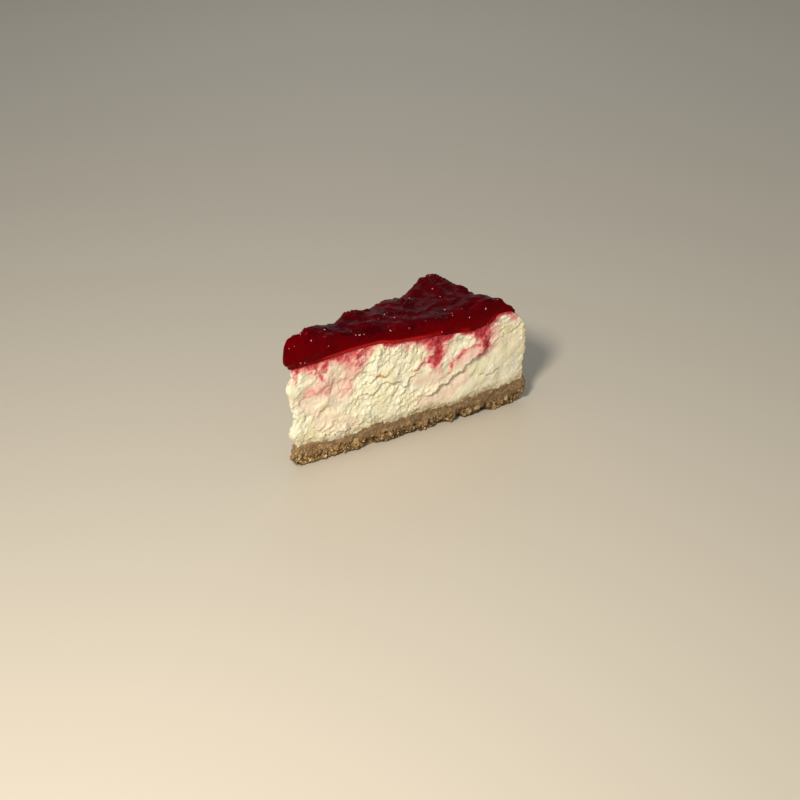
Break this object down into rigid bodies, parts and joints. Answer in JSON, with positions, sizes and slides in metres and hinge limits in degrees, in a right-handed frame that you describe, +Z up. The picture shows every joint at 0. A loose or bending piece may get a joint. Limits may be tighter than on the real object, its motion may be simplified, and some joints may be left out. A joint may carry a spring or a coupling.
{
  "type": "slice of baked cheesecake",
  "caption": "Wedge of baked cheesecake on a crumbly biscuit base, under a glossy red berry compote that bulges over the tip.",
  "frame": {"origin": "centre of the slice's bounding box, on the surface that the base rests on", "axes": "+X runs from the tip of the slice to its baked rim, along the middle of the slice; +Z is up; -Y is the side of the cut face that the picture shows"},
  "size_m": [0.1201, 0.0475, 0.0639],
  "materials": {
    "biscuit": "crumbly golden brown biscuit, matte",
    "cheese": "pale ivory set cheese, torn and slightly moist, with red berry stains near the top",
    "compote": "glossy deep red jelly with soft lumps and small seeds"
  },
  "bodies": {
    "root": {"biscuit_base": "biscuit", "cheese_filling": "cheese", "berry_topping": "compote"}
  },
  "joints": []
}
